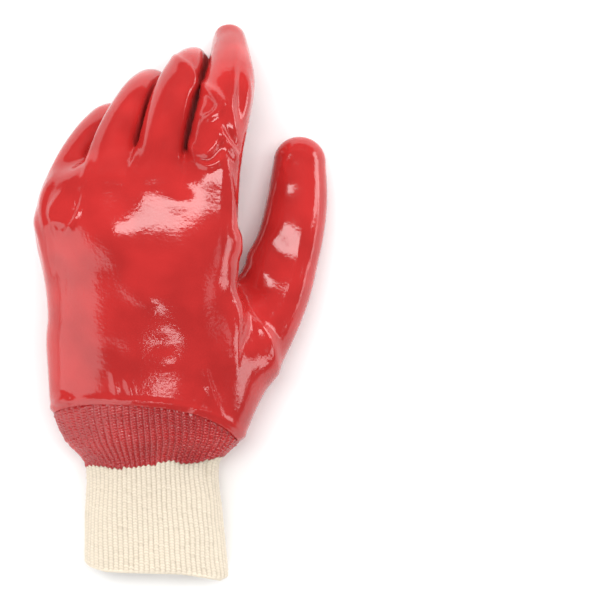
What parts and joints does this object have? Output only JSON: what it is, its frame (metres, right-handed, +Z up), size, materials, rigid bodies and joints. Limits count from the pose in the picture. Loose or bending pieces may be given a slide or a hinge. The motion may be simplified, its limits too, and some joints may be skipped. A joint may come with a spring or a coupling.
{
  "type": "pvc coated work glove",
  "caption": "Left work glove dipped in glossy red PVC over a cream rib knit wrist, lying palm down with curled fingers, hollow and open at the wrist.",
  "frame": {"origin": "on the flat underside of the knit wrist, at the middle of its length and under its middle, where the glove rests", "axes": "+Z up out of the back of the hand, +Y from the wrist to the fingertips, +X towards the thumb"},
  "size_m": [0.1368, 0.2649, 0.0686],
  "materials": {
    "glossy_pvc": "gloss",
    "ribbed_pvc": "satin",
    "rib_knit": "matte"
  },
  "bodies": {
    "root": {"coated_hand": "glossy_pvc", "dipped_rib_band": "ribbed_pvc", "knit_wrist": "rib_knit"}
  },
  "joints": []
}
